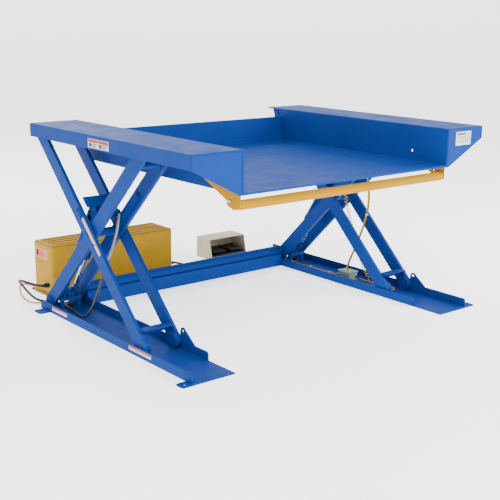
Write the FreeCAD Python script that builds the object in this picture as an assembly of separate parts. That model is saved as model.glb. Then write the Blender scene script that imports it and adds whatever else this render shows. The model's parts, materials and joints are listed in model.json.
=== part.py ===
import FreeCAD, Part
import math
import os

from FreeCAD import Vector

# Ground-level scissor lift table with a U-shaped base: two narrow scissors stand beside an open
# bay, and carry a deck that hangs between two side boxes. Millimetres, +Z up, +Y to the rear.
# The origin is on the floor at the centre of the four floor-anchor holes, and the table is raised.

os.makedirs("parts", exist_ok=True)

# Driving dimensions
deck_half_width = 660.5         # between the side walls
side_box_width = 276.5          # of each box over a scissor
deck_depth = 1288.0
deck_top = 805.0                # raised
deck_thickness = 10.0
wall_height = 186.0             # of the side boxes over the deck
front = -682.0                  # the deck's front edge
over = 1.0                      # how far a cutting tool runs past a face
base_centre = 808.0             # a scissor's centre plane, from the middle of the table
base_half = 112.0
plate = 6.0                     # sheet thickness
anchor_x = 952.0
anchor_front_y, anchor_rear_y = front + 30.0, front + 1334.0

# Sizes that follow
box_top = deck_top + wall_height
box_outer = deck_half_width + side_box_width
box_length = 1406.0
wall_thickness = 5.0
skirt_height = 67.0
base_inner, base_outer = base_centre - base_half, base_centre + base_half
base_front, base_rear = front + 5.0, front + 1403.0

# Scissor linkage: the rear pivots are fixed and the front ends roll
pivot_y = front + 1359.0
roller_y = front + 437.0
bottom_z = 46.0
roller_gap = 0.5                # between a raised table's rollers and what they run on
bottom_roller_radius = bottom_z - plate - roller_gap
top_roller_radius = 38.0
top_z = box_top - plate - roller_gap - top_roller_radius
span, rise = pivot_y - roller_y, top_z - bottom_z
raised_angle = math.atan2(rise, span)
leg_depth = 74.0
leg_end = leg_depth / 2
middle_y, middle_z = (pivot_y + roller_y) / 2, (bottom_z + top_z) / 2
outer_leg_x = ((706.5, 724.5), (891.5, 909.5))
inner_leg_x = ((728.5, 746.5), (869.5, 887.5))
pin_radius, middle_pin_radius = 12.5, 15.0
running_clearance = 0.05

# Ram line: a fixed anchor on the base, and a head pin on the outer legs
anchor_point = (front + 1285.0, 105.0)
ram_offset = 27.0
ram_along, ram_above = 125.0, 42.0
ram_pin_radius = 10.0
eye_width, eye_radius = 20.0, 19.0
cheek_insets, cheek_thickness = (ram_offset - 18.0, ram_offset + 12.0), 6.0
ram_pin_reach = 49.0            # each side of a scissor's centre plane

# Plates, pins and rollers
anchor_hole_radius = 9.0
rail_thickness, rail_height = 8.0, 46.0
ear_thickness, ear_gap = 8.0, 2.0
pin_head_rim, pin_head_depth = 4.0, 2.0
roller_width, roller_side_gap = 15.0, 1.0
axle_radius, cap_radius, cap_thickness = 10.0, 16.0, 3.0
cross_member_front, cross_member_rear = front + 1294.0, front + 1372.0
wall_front = front + 1282.0     # the back wall's front face
wall_outer = deck_half_width + wall_thickness
underside = deck_top - deck_thickness
gland_reach = 14.0

# Power unit
unit_x = (-780.0, 25.0)
unit_y = (front + 1528.0, front + 1748.0)
sheet = 3.0                     # gauge of the cover, the pan and the foot switch's hood
unit_foot = 8.0                 # height of the pan's edge


def block(x0, x1, y0, y1, z0, z1):
    return Part.makeBox(x1 - x0, y1 - y0, z1 - z0, Vector(x0, y0, z0))


def prism(points, direction):
    edge = Part.makePolygon([Vector(*p) for p in points + [points[0]]])
    return Part.Face(edge).extrude(Vector(*direction))


def prism_x(points, x0, x1):
    return prism([(x0, y, z) for y, z in points], (x1 - x0, 0, 0))


def prism_y(points, y0, y1):
    return prism([(x, y0, z) for x, z in points], (0, y1 - y0, 0))


def rod_x(x0, x1, y, z, radius):
    return Part.makeCylinder(radius, x1 - x0, Vector(x0, y, z), Vector(1, 0, 0))


def rod_z(z0, z1, x, y, radius):
    return Part.makeCylinder(radius, z1 - z0, Vector(x, y, z0), Vector(0, 0, 1))


def rod_between(start, end, radius):
    line = Vector(*end) - Vector(*start)
    return Part.makeCylinder(radius, line.Length, Vector(*start), line)


def hexagon(a, b, radius):
    turns = [math.radians(60 * i) for i in range(6)]
    return [(a + radius * math.cos(t), b + radius * math.sin(t)) for t in turns]


def hexagon_x(x0, x1, y, z, radius):
    return prism_x(hexagon(y, z, radius), x0, x1)


def hexagon_z(z0, z1, x, y, radius):
    return prism([(a, b, z0) for a, b in hexagon(x, y, radius)], (0, 0, z1 - z0))


def fuse(shapes):
    return shapes[0].multiFuse(shapes[1:]).removeSplitter()


def rounded(shape, radius, wanted):
    """Fillet the straight edges whose middle point passes the test."""
    edges = [e for e in shape.Edges if wanted(e.valueAt((e.FirstParameter + e.LastParameter) / 2))]
    return shape.makeFillet(radius, edges)


def mirrored(shape):
    return shape.mirror(Vector(0, 0, 0), Vector(1, 0, 0))


def export(name, shapes):
    shape = shapes[0] if len(shapes) == 1 else Part.makeCompound(shapes)
    shape.exportStep("parts/" + name + ".step")
    print(name, len(shapes), "solids", round(shape.Volume / 1000), "cm3", shape.isValid())


def export_pair(name, shapes):
    export(name + "_right", shapes)
    export(name + "_left", [mirrored(s) for s in shapes])


def export_both(name, shapes):
    export(name, shapes + [mirrored(s) for s in shapes])


def leg(start, end, x_range):
    """A flat bar in a scissor's plane with round ends about its two axles."""
    (y0, z0), (y1, z1) = start, end
    length = math.hypot(y1 - y0, z1 - z0)
    across = ((z0 - z1) / length * leg_end, (y1 - y0) / length * leg_end)
    outline = [(y0 + across[0], z0 + across[1]), (y1 + across[0], z1 + across[1]),
               (y1 - across[0], z1 - across[1]), (y0 - across[0], z0 - across[1])]
    x0, x1 = x_range
    return fuse([prism_x(outline, x0, x1), rod_x(x0, x1, y0, z0, leg_end), rod_x(x0, x1, y1, z1, leg_end)])


def on_outer_leg(along, above):
    """A point given from the middle pivot, along an outer leg to the rear and square to it."""
    c, s = math.cos(raised_angle), math.sin(raised_angle)
    return middle_y + along * c - above * s, middle_z + along * s + above * c


def on_inner_leg(along, above):
    """A point given from the middle pivot, along an inner leg to the front and square to it."""
    c, s = math.cos(raised_angle), math.sin(raised_angle)
    return middle_y - along * c + above * s, middle_z + along * s + above * c


def ear(x_range, y, z, foot_z, radius, foot_half, hole):
    """An upright pivot plate between a flat foot and a round end."""
    x0, x1 = x_range
    outline = [(y - foot_half, foot_z), (y + foot_half, foot_z), (y + radius, z), (y - radius, z)]
    body = fuse([prism_x(outline, x0, x1), rod_x(x0, x1, y, z, radius)])
    return body.cut(rod_x(x0 - over, x1 + over, y, z, hole))


# Base frame

def base_plate():
    shapes = [block(base_inner, base_outer, base_front, base_rear, 0, plate)]
    tab_outer, tab_corner, tab_overlap = 980.0, 10.0, 10.0
    front_tab, rear_tab = (base_front, front + 60.0), (front + 1298.0, front + 1370.0)
    for y0, y1 in (front_tab, rear_tab):
        tab = block(base_outer - tab_overlap, tab_outer, y0, y1, 0, plate)
        shapes.append(rounded(tab, tab_corner, lambda p: p.x > tab_outer - 1 and abs(p.z - plate / 2) < 1))
    body = fuse(shapes)
    for hole_y in (anchor_front_y, anchor_rear_y):
        body = body.cut(rod_z(-over, plate + over, anchor_x, hole_y, anchor_hole_radius))
    return body


def rail(x_range, start_y, with_eye):
    """A flat upright rail with round ends, and on some a lifting eye standing on it."""
    x0, x1 = x_range
    front_corner, rear_corner, weld = 14.0, 30.0, 2.0

    def on_top_end(p):
        return abs(p.x - (x0 + x1) / 2) < 1 and p.z > rail_height - 1

    bar = block(x0, x1, front + start_y, base_rear, plate, rail_height)
    bar = rounded(bar, front_corner, lambda p: on_top_end(p) and p.y < front + start_y + 1)
    bar = rounded(bar, rear_corner, lambda p: on_top_end(p) and p.y > base_rear - 1)
    if not with_eye:
        return bar
    eye_y, eye_z, lug_radius, eye_hole = front + 396.0, 95.0, 17.0, 9.0
    gusset_front, gusset_rear = front + 300.0, eye_y + 26.0
    shoulder = (eye_y - 13.0, eye_z + 11.0)
    gusset = [(gusset_front, rail_height - weld), shoulder, (eye_y + lug_radius, eye_z),
              (gusset_rear, rail_height - weld)]
    lug = fuse([prism_x(gusset, x0, x1), rod_x(x0, x1, eye_y, eye_z, lug_radius)])
    return fuse([bar, lug]).cut(rod_x(x0 - over, x1 + over, eye_y, eye_z, eye_hole))


def cheek_ranges():
    """The x ranges of the plates on both sides of each ram's eye."""
    return [sorted((base_centre + side * inset, base_centre + side * (inset + cheek_thickness)))
            for side in (-1, 1) for inset in cheek_insets]


def ram_pin(y, z):
    return rod_x(base_centre - ram_pin_reach, base_centre + ram_pin_reach, y, z, ram_pin_radius)


def ram_anchor():
    """A cross bar on two posts with a pair of cheeks for each ram's lower eye."""
    y, z = anchor_point
    beam_low, beam_high, beam_half, beam_depth = 58.0, 74.0, 58.0, 24.0
    post, weld, cheek_foot, cheek_radius = 9.0, 1.0, 22.0, 17.0
    bolt_radius, bolt_height, bolt_back = 8.0, 7.0, 12.0
    shapes = [block(base_centre - beam_half, base_centre + beam_half, y - beam_depth, y + beam_depth,
                    beam_low, beam_high)]
    for side in (-1, 1):
        x = base_centre + side * (beam_half - post)
        shapes.append(block(x - post, x + post, y - post, y + post, plate, beam_low + weld))
        shapes.append(hexagon_z(beam_high - weld, beam_high + bolt_height, x, y + bolt_back, bolt_radius))
    outline = [(y - cheek_foot, beam_high - weld), (y + cheek_foot, beam_high - weld),
               (y + cheek_radius, z), (y - cheek_radius, z)]
    for x0, x1 in cheek_ranges():
        shapes.append(fuse([prism_x(outline, x0, x1), rod_x(x0, x1, y, z, cheek_radius)]))
    pin = ram_pin(y, z)
    return [fuse(shapes).cut(pin), pin]


def ear_ranges(leg_range):
    x0, x1 = leg_range
    return ((x0 - ear_gap - ear_thickness, x0 - ear_gap), (x1 + ear_gap, x1 + ear_gap + ear_thickness))


def pivot_pin(leg_range, y, z, radius):
    reach = ear_gap + ear_thickness
    x0, x1 = leg_range[0] - reach, leg_range[1] + reach
    heads = [rod_x(a, a + pin_head_depth, y, z, radius + pin_head_rim) for a in (x0 - pin_head_depth, x1)]
    return fuse([rod_x(x0, x1, y, z, radius)] + heads)


def build_base():
    export_pair("base_plate", [base_plate()])
    outer_x, outer_start = (base_outer - rail_thickness, base_outer), 20.0
    inner_x, inner_start = (base_inner, base_inner + rail_thickness), 200.0
    export("base_rails", [rail(outer_x, outer_start, True), rail(inner_x, inner_start, False),
                          mirrored(rail(outer_x, outer_start, False)),
                          mirrored(rail(inner_x, inner_start, True))])
    ears, pins, ear_radius, foot_half = [], [], 28.0, 46.0
    for legs in inner_leg_x:
        for x_range in ear_ranges(legs):
            ears.append(ear(x_range, pivot_y, bottom_z, plate, ear_radius, foot_half, pin_radius))
        pins.append(pivot_pin(legs, pivot_y, bottom_z, pin_radius))
    export_both("base_pivot_ears", ears)
    export_both("base_pivot_pins", pins)
    export_both("ram_anchors", ram_anchor())
    tube_y, tube_z, tube_radius, tube_wall = front + 1331.0, 92.0, 30.0, 4.0
    reach, end_height, angle_height = base_inner - plate, 128.0, 76.0
    tube = rod_x(-reach, reach, tube_y, tube_z, tube_radius)
    tube = tube.cut(rod_x(-reach - over, reach + over, tube_y, tube_z, tube_radius - tube_wall))
    ends = [block(x0, x0 + plate, cross_member_front, cross_member_rear, 0, end_height)
            for x0 in (-base_inner, base_inner - plate)]
    export("cross_member_tube", [fuse([tube] + ends)])
    web_rear = cross_member_front + plate
    angle = [(cross_member_front, 0), (cross_member_rear, 0), (cross_member_rear, plate),
             (web_rear, plate), (web_rear, angle_height), (cross_member_front, angle_height)]
    export("cross_member_angle", [prism_x(angle, -reach, reach)])


# Scissors

def drilled(shape, pivots):
    for y, z, radius in pivots:
        shape = shape.cut(rod_x(base_inner - over, base_outer + over, y, z, radius))
    return shape


def stub_axle(leg_range, inboard, y, z, width):
    """A welded stub on a leg's inboard face with a retaining cap over its roller."""
    face = leg_range[1] if inboard > 0 else leg_range[0]
    tip = face + inboard * (width + 2 * roller_side_gap)
    x0, x1 = sorted((face, tip))
    c0, c1 = sorted((tip, tip + inboard * cap_thickness))
    return [rod_x(x0, x1, y, z, axle_radius), rod_x(c0, c1, y, z, cap_radius)]


def roller(leg_range, inboard, y, z, width, radius):
    """A wheel with a shallow ring cut in each face, between its hub and its tread."""
    dish, rim, hub_radius, edge = 2.0, 8.0, 18.0, 1.5
    face = leg_range[1] if inboard > 0 else leg_range[0]
    x0, x1 = sorted((face + inboard * roller_side_gap, face + inboard * (roller_side_gap + width)))
    wheel = rounded(rod_x(x0, x1, y, z, radius), edge, lambda p: True)
    for a, b in ((x0 - over, x0 + dish), (x1 - dish, x1 + over)):
        wheel = wheel.cut(rod_x(a, b, y, z, radius - rim).cut(rod_x(a, b, y, z, hub_radius)))
    return wheel.cut(rod_x(x0 - over, x1 + over, y, z, axle_radius + running_clearance))


def build_inner_legs():
    rear, tip = (pivot_y, bottom_z), (roller_y, top_z)
    holes = [(*rear, pin_radius + running_clearance),
             (middle_y, middle_z, middle_pin_radius + running_clearance)]
    legs, rollers = [], []
    for x_range, inboard in zip(inner_leg_x, (1, -1)):
        bar = drilled(leg(rear, tip, x_range), holes)
        legs.append(fuse([bar] + stub_axle(x_range, inboard, *tip, roller_width)))
        rollers.append(roller(x_range, inboard, *tip, roller_width, top_roller_radius))
    export_pair("inner_legs", legs)
    export_pair("top_rollers", rollers)
    faces = inner_leg_x[0][1], inner_leg_x[1][0]
    tube_radius, tube_bore, brace_radius, brace_along = 21.0, 17.0, 16.0, 540.0
    middle_tube = rod_x(*faces, middle_y, middle_z, tube_radius)
    middle_tube = middle_tube.cut(rod_x(*faces, middle_y, middle_z, tube_bore))
    brace = rod_x(*faces, *on_inner_leg(brace_along, 0), brace_radius)
    export_pair("inner_cross_tubes", [middle_tube, brace])


def local_prism(outline, x0, x1):
    return prism_x([on_outer_leg(a, b) for a, b in outline], x0, x1)


def ram_bracket():
    """A cross tube and strip between the outer legs, joined by cheeks for the ram heads and their pin."""
    faces = outer_leg_x[0][1], outer_leg_x[1][0]
    top, boss, tube_place, tube_radius = ram_above + 35.0, 20.0, (62.0, 56.0), 16.0
    strip_start, strip_end = 108.0, 167.0
    cheek_start, cheek_low, cheek_top, cheek_corner, cheek_reach = 47.0, 38.0, top - 5.0, 14.0, 24.0
    strip = local_prism([(strip_start, top - plate), (strip_end, top - plate), (strip_end, top),
                         (strip_start, top)], *faces)
    shapes = [strip, rod_x(*faces, *on_outer_leg(*tube_place), tube_radius)]
    y, z = on_outer_leg(ram_along, ram_above)
    outline = [(cheek_start, cheek_low), (ram_along - cheek_corner, ram_above - cheek_corner),
               (ram_along + boss, ram_above), (ram_along + cheek_reach, cheek_top), (cheek_start, cheek_top)]
    for x0, x1 in cheek_ranges():
        shapes.append(fuse([local_prism(outline, x0, x1), rod_x(x0, x1, y, z, boss)]))
    pin = ram_pin(y, z)
    return [fuse(shapes).cut(pin), pin]


def build_outer_legs():
    top, tip = (pivot_y, top_z), (roller_y, bottom_z)
    holes = [(*top, pin_radius + running_clearance), (middle_y, middle_z, middle_pin_radius)]
    legs, rollers, pins, bolt_height, bolt_radius = [], [], [], 2.0, 9.0
    for x_range, inner_range, inboard in zip(outer_leg_x, inner_leg_x, (1, -1)):
        bar = drilled(leg(top, tip, x_range), holes)
        outboard_face = x_range[0] if inboard > 0 else x_range[1]
        bolt = sorted((outboard_face, outboard_face - inboard * bolt_height))
        legs.append(fuse([bar] + stub_axle(x_range, inboard, *tip, roller_width)
                         + [hexagon_x(*bolt, *tip, bolt_radius)]))
        rollers.append(roller(x_range, inboard, *tip, roller_width, bottom_roller_radius))
        far_face = inner_range[1] if inboard > 0 else inner_range[0]
        pin_span = sorted((outboard_face, far_face))
        pins.append(rod_x(*pin_span, middle_y, middle_z, middle_pin_radius))
    export_pair("outer_legs", legs)
    export_pair("bottom_rollers", rollers)
    export_pair("middle_pins", pins)
    faces = outer_leg_x[0][1], outer_leg_x[1][0]
    flange, web, gauge, bar_along, bar_above = 46.0, 34.0, 7.0, -560.0, 28.0
    bar_y, bar_z = on_outer_leg(bar_along, bar_above)
    lower_bar = prism_x([(bar_y - flange, bar_z), (bar_y, bar_z), (bar_y, bar_z - web),
                         (bar_y - gauge, bar_z - web), (bar_y - gauge, bar_z - gauge),
                         (bar_y - flange, bar_z - gauge)], *faces)
    export_pair("outer_leg_braces", [lower_bar] + ram_bracket())


def build_rams():
    head = on_outer_leg(ram_along, ram_above)
    foot = anchor_point
    length = math.hypot(head[0] - foot[0], head[1] - foot[1])
    unit = ((head[0] - foot[0]) / length, (head[1] - foot[1]) / length)
    tube_radius, bore_radius, rod_radius, collar = 22.0, 17.0, 12.0, 25.0
    lug, rod_lug, rod_reach, piston, piston_gap = 44.0, 30.0, 330.0, 25.0, 0.1
    tube_start, weld = length - 354.0, 10.0
    collar_start, collar_end = tube_start - 4.0, tube_start + 20.0
    gland_end, cavity_end = collar_end + 3.0, length - lug - 6.0

    def along(x, s):
        return (x, foot[0] + unit[0] * s, foot[1] + unit[1] * s)

    barrels, rods = [], []
    for side in (-1, 1):
        x = base_centre + side * ram_offset
        x0, x1 = x - eye_width / 2, x + eye_width / 2
        normal = (-unit[1] * eye_radius, unit[0] * eye_radius)

        def eye(s0, s1, centre):
            corners = [(foot[0] + unit[0] * s + k * normal[0], foot[1] + unit[1] * s + k * normal[1])
                       for s, k in ((s0, 1), (s1, 1), (s1, -1), (s0, -1))]
            return fuse([prism_x(corners, x0, x1), rod_x(x0, x1, *centre, eye_radius)])

        hole = ram_pin_radius + running_clearance
        rod = fuse([eye(0, rod_lug, foot),
                    rod_between(along(x, rod_lug - weld), along(x, rod_reach), rod_radius),
                    rod_between(along(x, rod_reach - piston), along(x, rod_reach), bore_radius - piston_gap)])
        rods.append(rod.cut(rod_x(x0 - over, x1 + over, *foot, hole)))
        tube = fuse([rod_between(along(x, tube_start), along(x, length - lug + weld), tube_radius),
                     rod_between(along(x, collar_start), along(x, collar_end), collar),
                     eye(length - lug, length, head)])
        cavity = rod_between(along(x, collar_end), along(x, cavity_end), bore_radius)
        gland = rod_between(along(x, collar_start - over), along(x, gland_end), rod_radius + piston_gap)
        barrels.append(tube.cut(cavity).cut(gland).cut(rod_x(x0 - over, x1 + over, *head, hole)))
    export_pair("ram_barrels", barrels)
    export_pair("ram_rods", rods)


# Deck

def build_deck():
    edge, back_wall_top = 2.0, deck_top + 140.0
    stop_y, stop_z, stop_radius = front + 232.0, deck_top + 52.0, 7.0
    deck = block(-deck_half_width, deck_half_width, front, wall_front, underside, deck_top)
    deck = rounded(deck, edge, lambda p: p.y < front + 1 and abs(p.x) < 1)
    export("deck_plate", [deck])
    back = block(-deck_half_width, deck_half_width, wall_front, front + deck_depth, underside, back_wall_top)
    export("back_wall", [rounded(back, edge, lambda p: p.z > back_wall_top - 1 and abs(p.x) < 1)])

    top_corner = 5.5
    wall = block(deck_half_width, wall_outer, front, front + deck_depth, underside, box_top - plate)
    stop_hole = rod_x(deck_half_width - over, wall_outer + over, stop_y, stop_z, stop_radius)
    export("side_wall_right", [wall.cut(stop_hole)])
    export("side_wall_left", [mirrored(wall)])

    top = block(deck_half_width, box_outer, front, front + box_length, box_top - plate, box_top)
    top = rounded(top, top_corner, lambda p: p.z > box_top - 1 and abs(p.y - front - box_length / 2) < 1)
    export_pair("side_box_top", [top])
    skirt = block(box_outer - plate, box_outer, front, front + box_length, box_top - skirt_height,
                  box_top - plate)
    export_pair("side_skirt", [skirt])
    skirt_inner, skirt_low, under_top = box_outer - plate, box_top - skirt_height, box_top - plate
    foot_width, rear_inset = 16.0, 60.0
    outline = [(wall_outer, underside), (wall_outer + foot_width, underside), (skirt_inner, skirt_low),
               (skirt_inner, under_top), (wall_outer, under_top)]
    front_end = prism_y(outline, front, front + plate)
    rear_inner = wall_outer + rear_inset
    rear_outline = [(rear_inner, skirt_low), (skirt_inner, skirt_low), (skirt_inner, under_top),
                    (rear_inner, under_top)]
    rear_end = prism_y(rear_outline, front + box_length - plate, front + box_length)
    export_both("side_box_ends", [front_end, rear_end])

    ears, pins, ear_radius, foot_half = [], [], 27.0, 40.0
    for legs in outer_leg_x:
        for x_range in ear_ranges(legs):
            ears.append(ear(x_range, pivot_y, top_z, under_top, ear_radius, foot_half, pin_radius))
        pins.append(pivot_pin(legs, pivot_y, top_z, pin_radius))
    export_both("deck_pivot_ears", ears)
    export_both("deck_pivot_pins", pins)


# Toe guard: a folded bar between two side brackets, free to lift in short slots

def build_toe_guard():
    bracket_thickness, head_radius, head_height, shank_radius, shank_gap = 4.0, 6.5, 4.0, 4.0, 0.5
    x0, x1 = wall_outer, wall_outer + bracket_thickness
    outline = [(15, 733), (60, 723), (108, 740), (104, 757), (296, 845), (15, 845)]
    bracket = prism_x([(front + y, z) for y, z in outline], x0, x1)
    slot_y, slot_low, slot_high, slot_half = front + 83, 759.0, 771.0, 4.5
    slot = fuse([rod_x(x0 - over, x1 + over, slot_y, slot_low, slot_half),
                 rod_x(x0 - over, x1 + over, slot_y, slot_high, slot_half),
                 block(x0 - over, x1 + over, slot_y - slot_half, slot_y + slot_half, slot_low, slot_high)])
    screw_spots = ((75, 807), (230, 832))
    screws = [rod_x(x1, x1 + head_height, front + y, z, head_radius) for y, z in screw_spots]
    export_both("toe_guard_brackets", [bracket.cut(slot)] + screws)
    half, gauge = wall_outer - 1.0, 3.0
    section = [(front + 44, 729), (front + 20, 729), (front + 16, 750), (front + 33, 771), (front + 36, 769),
               (front + 19.4, 749.4), (front + 22.7, 732), (front + 44, 732)]
    bar = prism_x(section, -half, half)
    tab_y, tab_z = (front + 19, front + 96), (740, 770)
    tabs = [block(x, x + gauge, *tab_y, *tab_z) for x in (-half, half - gauge)]
    export("toe_guard_bar", [fuse([bar] + tabs)])
    head = x1 + shank_gap
    stub = fuse([rod_x(half, head, slot_y, slot_low, shank_radius),
                 rod_x(head, head + head_height, slot_y, slot_low, head_radius)])
    export_both("toe_guard_screws", [stub])


# Power unit: a pump, a motor and an oil tank on a pan, under a louvred cover

def build_cover(exits):
    (x0, x1), (y0, y1) = unit_x, unit_y
    height, lip_width, corner, top_corner, hole_radius = 290.0, 14.0, 18.0, 12.0, 11.0
    shell = block(x0, x1, y0, y1, unit_foot, height)
    shell = rounded(shell, corner, lambda p: abs(p.z - (height + unit_foot) / 2) < 1)
    shell = rounded(shell, top_corner, lambda p: p.z > height - 1)
    low, high = unit_foot - over, height - sheet
    inside = block(x0 + sheet, x1 - sheet, y0 + sheet, y1 - sheet, low, high)
    inside = rounded(inside, corner - sheet, lambda p: abs(p.z - (high + low) / 2) < 1)
    lip = block(x0 - lip_width, x1 + lip_width, y0 - lip_width, y1 + lip_width, unit_foot, unit_foot + sheet)
    lip = lip.cut(block(x0 + sheet, x1 - sheet, y0 + sheet, y1 - sheet, low, unit_foot + sheet + over))
    cover = fuse([shell.cut(inside), lip])
    ribs, rib_width, rib_height, rib_inset, rib_corner = 4, 20.0, 6.0, 30.0, 2.5
    pitch = (y1 - y0 - 2 * rib_inset - rib_width) / (ribs - 1)
    for i in range(ribs):
        y = y0 + rib_inset + i * pitch
        rib = block(x0 + rib_inset, x1 - rib_inset, y, y + rib_width, height - over, height + rib_height)
        cover = cover.fuse(rounded(rib, rib_corner, lambda p: p.z > height + rib_height - 1))
    cover = cover.removeSplitter()
    for wall_x, _, y, z in exits:
        cover = cover.cut(rod_x(wall_x - 2 * sheet, wall_x + 2 * sheet, y, z, hole_radius))
    export("power_unit_cover", [cover])
    wall = 6.0
    pan = block(x0 - lip_width, x1 + lip_width, y0 - lip_width, y1 + lip_width, 0, unit_foot)
    well = block(x0 + wall, x1 - wall, y0 + wall, y1 - wall, sheet, unit_foot + over)
    export("power_unit_pan", [pan.cut(well)])


def build_fittings(exits):
    """Glands where hoses and cords leave the cover, and blocks where they end on the base plates."""
    gland_inside, gland_radius, nut_start, nut_end, nut_radius = 10.0, 10.5, 0.5, 6.0, 15.0
    glands = []
    for wall_x, out, y, z in exits:
        a, b = sorted((wall_x - out * gland_inside, wall_x + out * gland_reach))
        c, d = sorted((wall_x + out * nut_start, wall_x + out * nut_end))
        glands.append(fuse([rod_x(a, b, y, z, gland_radius), hexagon_x(c, d, y, z, nut_radius)]))
    half, depth, height = 11.0, 14.0, 22.0
    end_spots = (-795.0, front + 1306.0), (825.0, front + 1322.0), (790.0, front + 1322.0)
    ends = [block(x - half, x + half, y - depth, y, plate, plate + height) for x, y in end_spots]
    export("hose_fittings", glands + ends)
    clamp_height, clamp_x, clamp_y, under_top = 12.0, (762, 832), (front + 735, front + 905), box_top - plate
    export("cable_clamp", [block(*clamp_x, *clamp_y, under_top - clamp_height, under_top)])


def build_pump():
    x0, (y0, y1) = unit_x[0], unit_y
    tank_start, tank_end, tank_inset, tank_top, corner = x0 + 30, x0 + 330, 25.0, 210.0, 14.0
    tank = block(tank_start, tank_end, y0 + tank_inset, y1 - tank_inset, sheet, tank_top)
    tank = rounded(tank, corner, lambda p: abs(p.z - (tank_top + sheet) / 2) < 1)
    filler_x, filler_y, filler_height, filler_radius = x0 + 90, y0 + 80, 25.0, 24.0
    filler = rod_z(tank_top - over, tank_top + filler_height, filler_x, filler_y, filler_radius)
    export("oil_tank", [fuse([tank, filler])])

    axis_y, axis_z, manifold_end, half_width, half_height = (y0 + y1) / 2, 110.0, x0 + 430, 55.0, 60.0
    manifold = block(tank_end, manifold_end, axis_y - half_width, axis_y + half_width,
                     axis_z - half_height, axis_z + half_height)
    foot_inset, foot_half = 15.0, 40.0
    foot = block(tank_end + foot_inset, manifold_end - foot_inset, axis_y - foot_half, axis_y + foot_half,
                 sheet, axis_z - half_height + over)
    valve_x, valve_top, valve_radius = x0 + 380, axis_z + 130, 20.0
    valve = rod_z(axis_z + half_height - over, valve_top, valve_x, axis_y, valve_radius)
    export("pump_manifold", [fuse([manifold, valve, foot])])

    motor_length, motor_radius, mount_start, mount_end, mount_half = 260.0, 72.0, 50.0, 210.0, 50.0
    fin_radius, fin_width, fin_start, fin_pitch, fin_count = 78.0, 6.0, 30.0, 22.0, 9
    motor = rod_x(manifold_end, manifold_end + motor_length, axis_y, axis_z, motor_radius)
    starts = [manifold_end + fin_start + fin_pitch * i for i in range(fin_count)]
    fins = [rod_x(x, x + fin_width, axis_y, axis_z, fin_radius) for x in starts]
    mount = block(manifold_end + mount_start, manifold_end + mount_end, axis_y - mount_half,
                  axis_y + mount_half, sheet, axis_z - half_height)
    export("pump_motor", [fuse([motor, mount] + fins)])


def build_power_unit():
    hole_y, hole_z, cord_back, cord_down = unit_y[0] + 50.0, 62.0, 34.0, 10.0
    exits = ((unit_x[0], -1, hole_y, hole_z), (unit_x[0], -1, hole_y + cord_back, hole_z - cord_down),
             (unit_x[1], 1, hole_y, hole_z))
    build_cover(exits)
    build_fittings(exits)
    build_pump()


# Foot switch

def build_foot_switch():
    x0, x1, y0, y1 = 418.0, 702.0, front + 1650.0, front + 1820.0
    base_height, hood_height, corner = 26.0, 132.0, 8.0
    pedal_half, pedal_offset, hinge_z, shaft_radius, barrel_radius = 48.0, 66.0, 44.0, 4.0, 8.0
    post_gap, post_width, post_half, hinge_back = 1.0, 6.0, 12.0, 40.0
    hinge_y = y1 - hinge_back
    centres = [(x0 + x1) / 2 + side * pedal_offset for side in (-1, 1)]
    base_inset, base_start, base_end = 8.0, y0 + 10.0, y1 - 6.0
    base = rounded(block(x0 + base_inset, x1 - base_inset, base_start, base_end, 0, base_height), corner,
                   lambda p: abs(p.z - base_height / 2) < 1)
    posts, shafts = [], []
    for x in centres:
        for side in (-1, 1):
            inner = x + side * (pedal_half + post_gap)
            a, b = sorted((inner, inner + side * post_width))
            posts.append(block(a, b, hinge_y - post_half, hinge_y + post_half, base_height - over,
                               hinge_z + post_half))
        reach = pedal_half + post_gap + post_width + over
        shafts.append(rod_x(x - reach, x + reach, hinge_y, hinge_z, shaft_radius + running_clearance))
    body = fuse([base] + posts)
    for shaft in shafts:
        body = body.cut(shaft)
    export("foot_switch_base", [body])

    lean, sill = 30.0, (8.0, 34.0)
    outline = [(y0 + lean, hood_height), (y1, hood_height), (y1, base_height), (y1 - sheet, base_height),
               (y1 - sheet, hood_height - sheet), (y0 + lean, hood_height - sheet)]
    side_outline = [(y0, 0), (y0 + sill[0], sill[1]), (y0 + lean, hood_height), (y1, hood_height), (y1, 0)]
    sides = [prism_x(side_outline, x, x + sheet) for x in (x0, x1 - sheet)]
    export("foot_switch_guard", [fuse([prism_x(outline, x0, x1)] + sides)])

    tread_back = hinge_y + 10
    tread = [(y0 + 22, base_height + 16), (tread_back, hinge_z + 2), (tread_back, hinge_z + 9),
             (y0 + 20, base_height + 24)]
    rib_count, rib_pitch, rib_width, rib_low, rib_high = 5, 14.0, 5.0, base_height + 20, base_height + 25.5
    first_rib = y0 + 30
    rib_starts = [first_rib + rib_pitch * i for i in range(rib_count)]
    shaft_reach = pedal_half + post_width
    for name, x in zip(("pedal_lower", "pedal_raise"), centres):
        a, b = x - pedal_half, x + pedal_half
        ribs = [block(a, b, y, y + rib_width, rib_low, rib_high) for y in rib_starts]
        export(name, [fuse([prism_x(tread, a, b), rod_x(a, b, hinge_y, hinge_z, barrel_radius),
                            rod_x(x - shaft_reach, x + shaft_reach, hinge_y, hinge_z, shaft_radius)] + ribs)])


# Small parts on the scissors

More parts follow.
